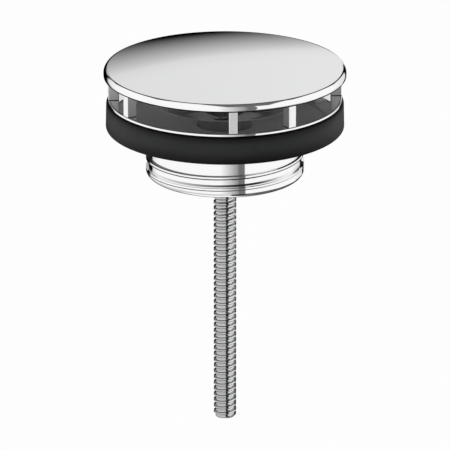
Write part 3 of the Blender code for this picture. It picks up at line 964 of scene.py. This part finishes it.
def make_world():
    """White studio, with the dark cards and the grey panel that show in the chrome."""
    world = bpy.data.worlds.new("studio")
    bpy.context.scene.world = world
    nodes = Nodes(world)
    east, north, up = nodes.axes(nodes.add("ShaderNodeTexCoord").outputs["Generated"])
    south = nodes.maths("MULTIPLY", north, -1.0)
    west = nodes.maths("MULTIPLY", east, -1.0)

    def degrees(operation, *values):
        """An angle worked out from the view's direction."""
        return nodes.maths("MULTIPLY", nodes.maths(operation, *values), math.degrees(1.0))

    elevation = degrees("ARCSINE", up)
    side = degrees("ARCSINE", east)
    azimuth = degrees("ARCTAN2", east, south)
    behind = degrees("ARCTAN2", west, north)
    pitch = degrees("ARCTAN2", up, south)

    panel = nodes.ramp(behind, *PANEL_SHADE_SPAN, *PANEL_SHADES, smooth=False)
    level = nodes.ramp(back_panel(nodes, behind, elevation), 0.0, 1.0, 1.0, panel, smooth=False)
    level = nodes.darken(level, low_card(nodes, behind, elevation))
    level = nodes.darken(level, end_card(nodes, behind, elevation))
    front = nodes.ramp(front_card(nodes, azimuth, elevation), 0.0, 1.0, 1.0, FRONT_CARD_GREY, smooth=False)
    level = nodes.maths("MULTIPLY", level, front)
    level = nodes.cap(level, lid(nodes, side, pitch), LID_GREY)
    level = nodes.cap(level, strip(nodes, behind, side, pitch, elevation), STRIP_GREY)
    level = nodes.cap(level, low_patch(nodes, side, elevation), PATCH_GREY)

    seen = nodes.add("ShaderNodeLightPath").outputs["Is Camera Ray"]
    background = nodes.add("ShaderNodeBackground")
    background.inputs["Color"].default_value = grey(1.0)
    nodes.feed(nodes.ramp(seen, 0.0, 1.0, level, 1.0, smooth=False), background.inputs["Strength"])
    nodes.show(background, "ShaderNodeOutputWorld")


def make_floor():
    """Plain white floor, which glows white to the camera and keeps a trace of the shadow."""
    made = bpy.data.materials.new("floor_white")
    nodes = Nodes(made)
    path = nodes.add("ShaderNodeLightPath")
    seen = nodes.maths("MAXIMUM", path.outputs["Is Camera Ray"], path.outputs["Is Glossy Ray"])
    seen = nodes.maths("MAXIMUM", seen, path.outputs["Is Transmission Ray"])
    diffuse = nodes.add("ShaderNodeBsdfDiffuse")
    diffuse.inputs["Color"].default_value = grey(FLOOR_GREY)
    mixed = nodes.add("ShaderNodeMixShader")
    nodes.feed(nodes.maths("MULTIPLY", seen, FLOOR_GLOW_SHARE), mixed.inputs[0])
    nodes.feed(diffuse.outputs[0], mixed.inputs[1])
    nodes.feed(nodes.glow(1.0).outputs[0], mixed.inputs[2])
    nodes.show(mixed)

    work = bmesh.new()
    bmesh.ops.create_grid(work, x_segments=1, y_segments=1, size=FLOOR_SIZE / 2)
    floor = mesh_object("floor", work, [made])
    floor.location.z = FLOOR_Z
    floor.visible_glossy = False


def make_card(name, place, start, end, level):
    """A bent card of one grey level, which only mirrors see.

    place is its radius, top and bottom, and start and end are angles round the axis in degrees.
    """
    radius, top, bottom = place
    made = bpy.data.materials.new(name)
    nodes = Nodes(made)
    nodes.show(nodes.glow(level))
    first, last = math.radians(start), math.radians(end)
    turns = [first + (last - first) * step / CARD_STEPS for step in range(CARD_STEPS + 1)]
    work = bmesh.new()
    upper = [round_point(work, radius, turn, top) for turn in turns]
    lower = [round_point(work, radius, turn, bottom) for turn in turns]
    for step in range(CARD_STEPS):
        work.faces.new((upper[step], upper[step + 1], lower[step + 1], lower[step]))
    card = mesh_object(name, work, [made])
    card.visible_camera = False
    card.visible_diffuse = False
    card.visible_transmission = False
    card.visible_shadow = False


def make_rod_cards():
    """Cards round the rod, which give its thread the bright left side and the dark bands."""
    far = (FAR_CARD_RADIUS, FAR_CARD_TOP, FAR_CARD_BOTTOM)
    near = (NEAR_CARD_RADIUS, NEAR_CARD_TOP, NEAR_CARD_BOTTOM)
    make_card("left_card", far, LEFT_CARD_START, LEFT_CARD_END, LEFT_CARD_GREY)
    make_card("left_edge_card", far, LEFT_EDGE_START, LEFT_CARD_START, LEFT_EDGE_GREY)
    make_card("middle_card", near, MIDDLE_CARD_START, MIDDLE_CARD_END, MIDDLE_CARD_GREY)
    make_card("middle_side_card", near, MIDDLE_CARD_END, MIDDLE_SIDE_END, MIDDLE_SIDE_GREY)
    make_card("right_edge_card", far, RIGHT_EDGE_START, RIGHT_EDGE_END, RIGHT_EDGE_GREY)


def make_camera():
    """The photograph's view: from the front, looking down on the cover."""
    data = bpy.data.cameras.new("camera")
    data.lens = CAMERA_LENS
    data.sensor_width = SENSOR_WIDTH
    camera = add_object("camera", data)
    camera.location = (
        0.0,
        -CAMERA_DISTANCE * math.cos(CAMERA_ELEVATION),
        CAMERA_TARGET_Z + CAMERA_DISTANCE * math.sin(CAMERA_ELEVATION),
    )
    camera.rotation_euler = (math.pi / 2 - CAMERA_ELEVATION, 0.0, 0.0)
    bpy.context.scene.camera = camera


bpy.context.scene.view_settings.view_transform = "Standard"
looks = make_materials()
dress_frame(looks)
make_pieces(looks)
make_world()
make_floor()
make_rod_cards()
make_camera()
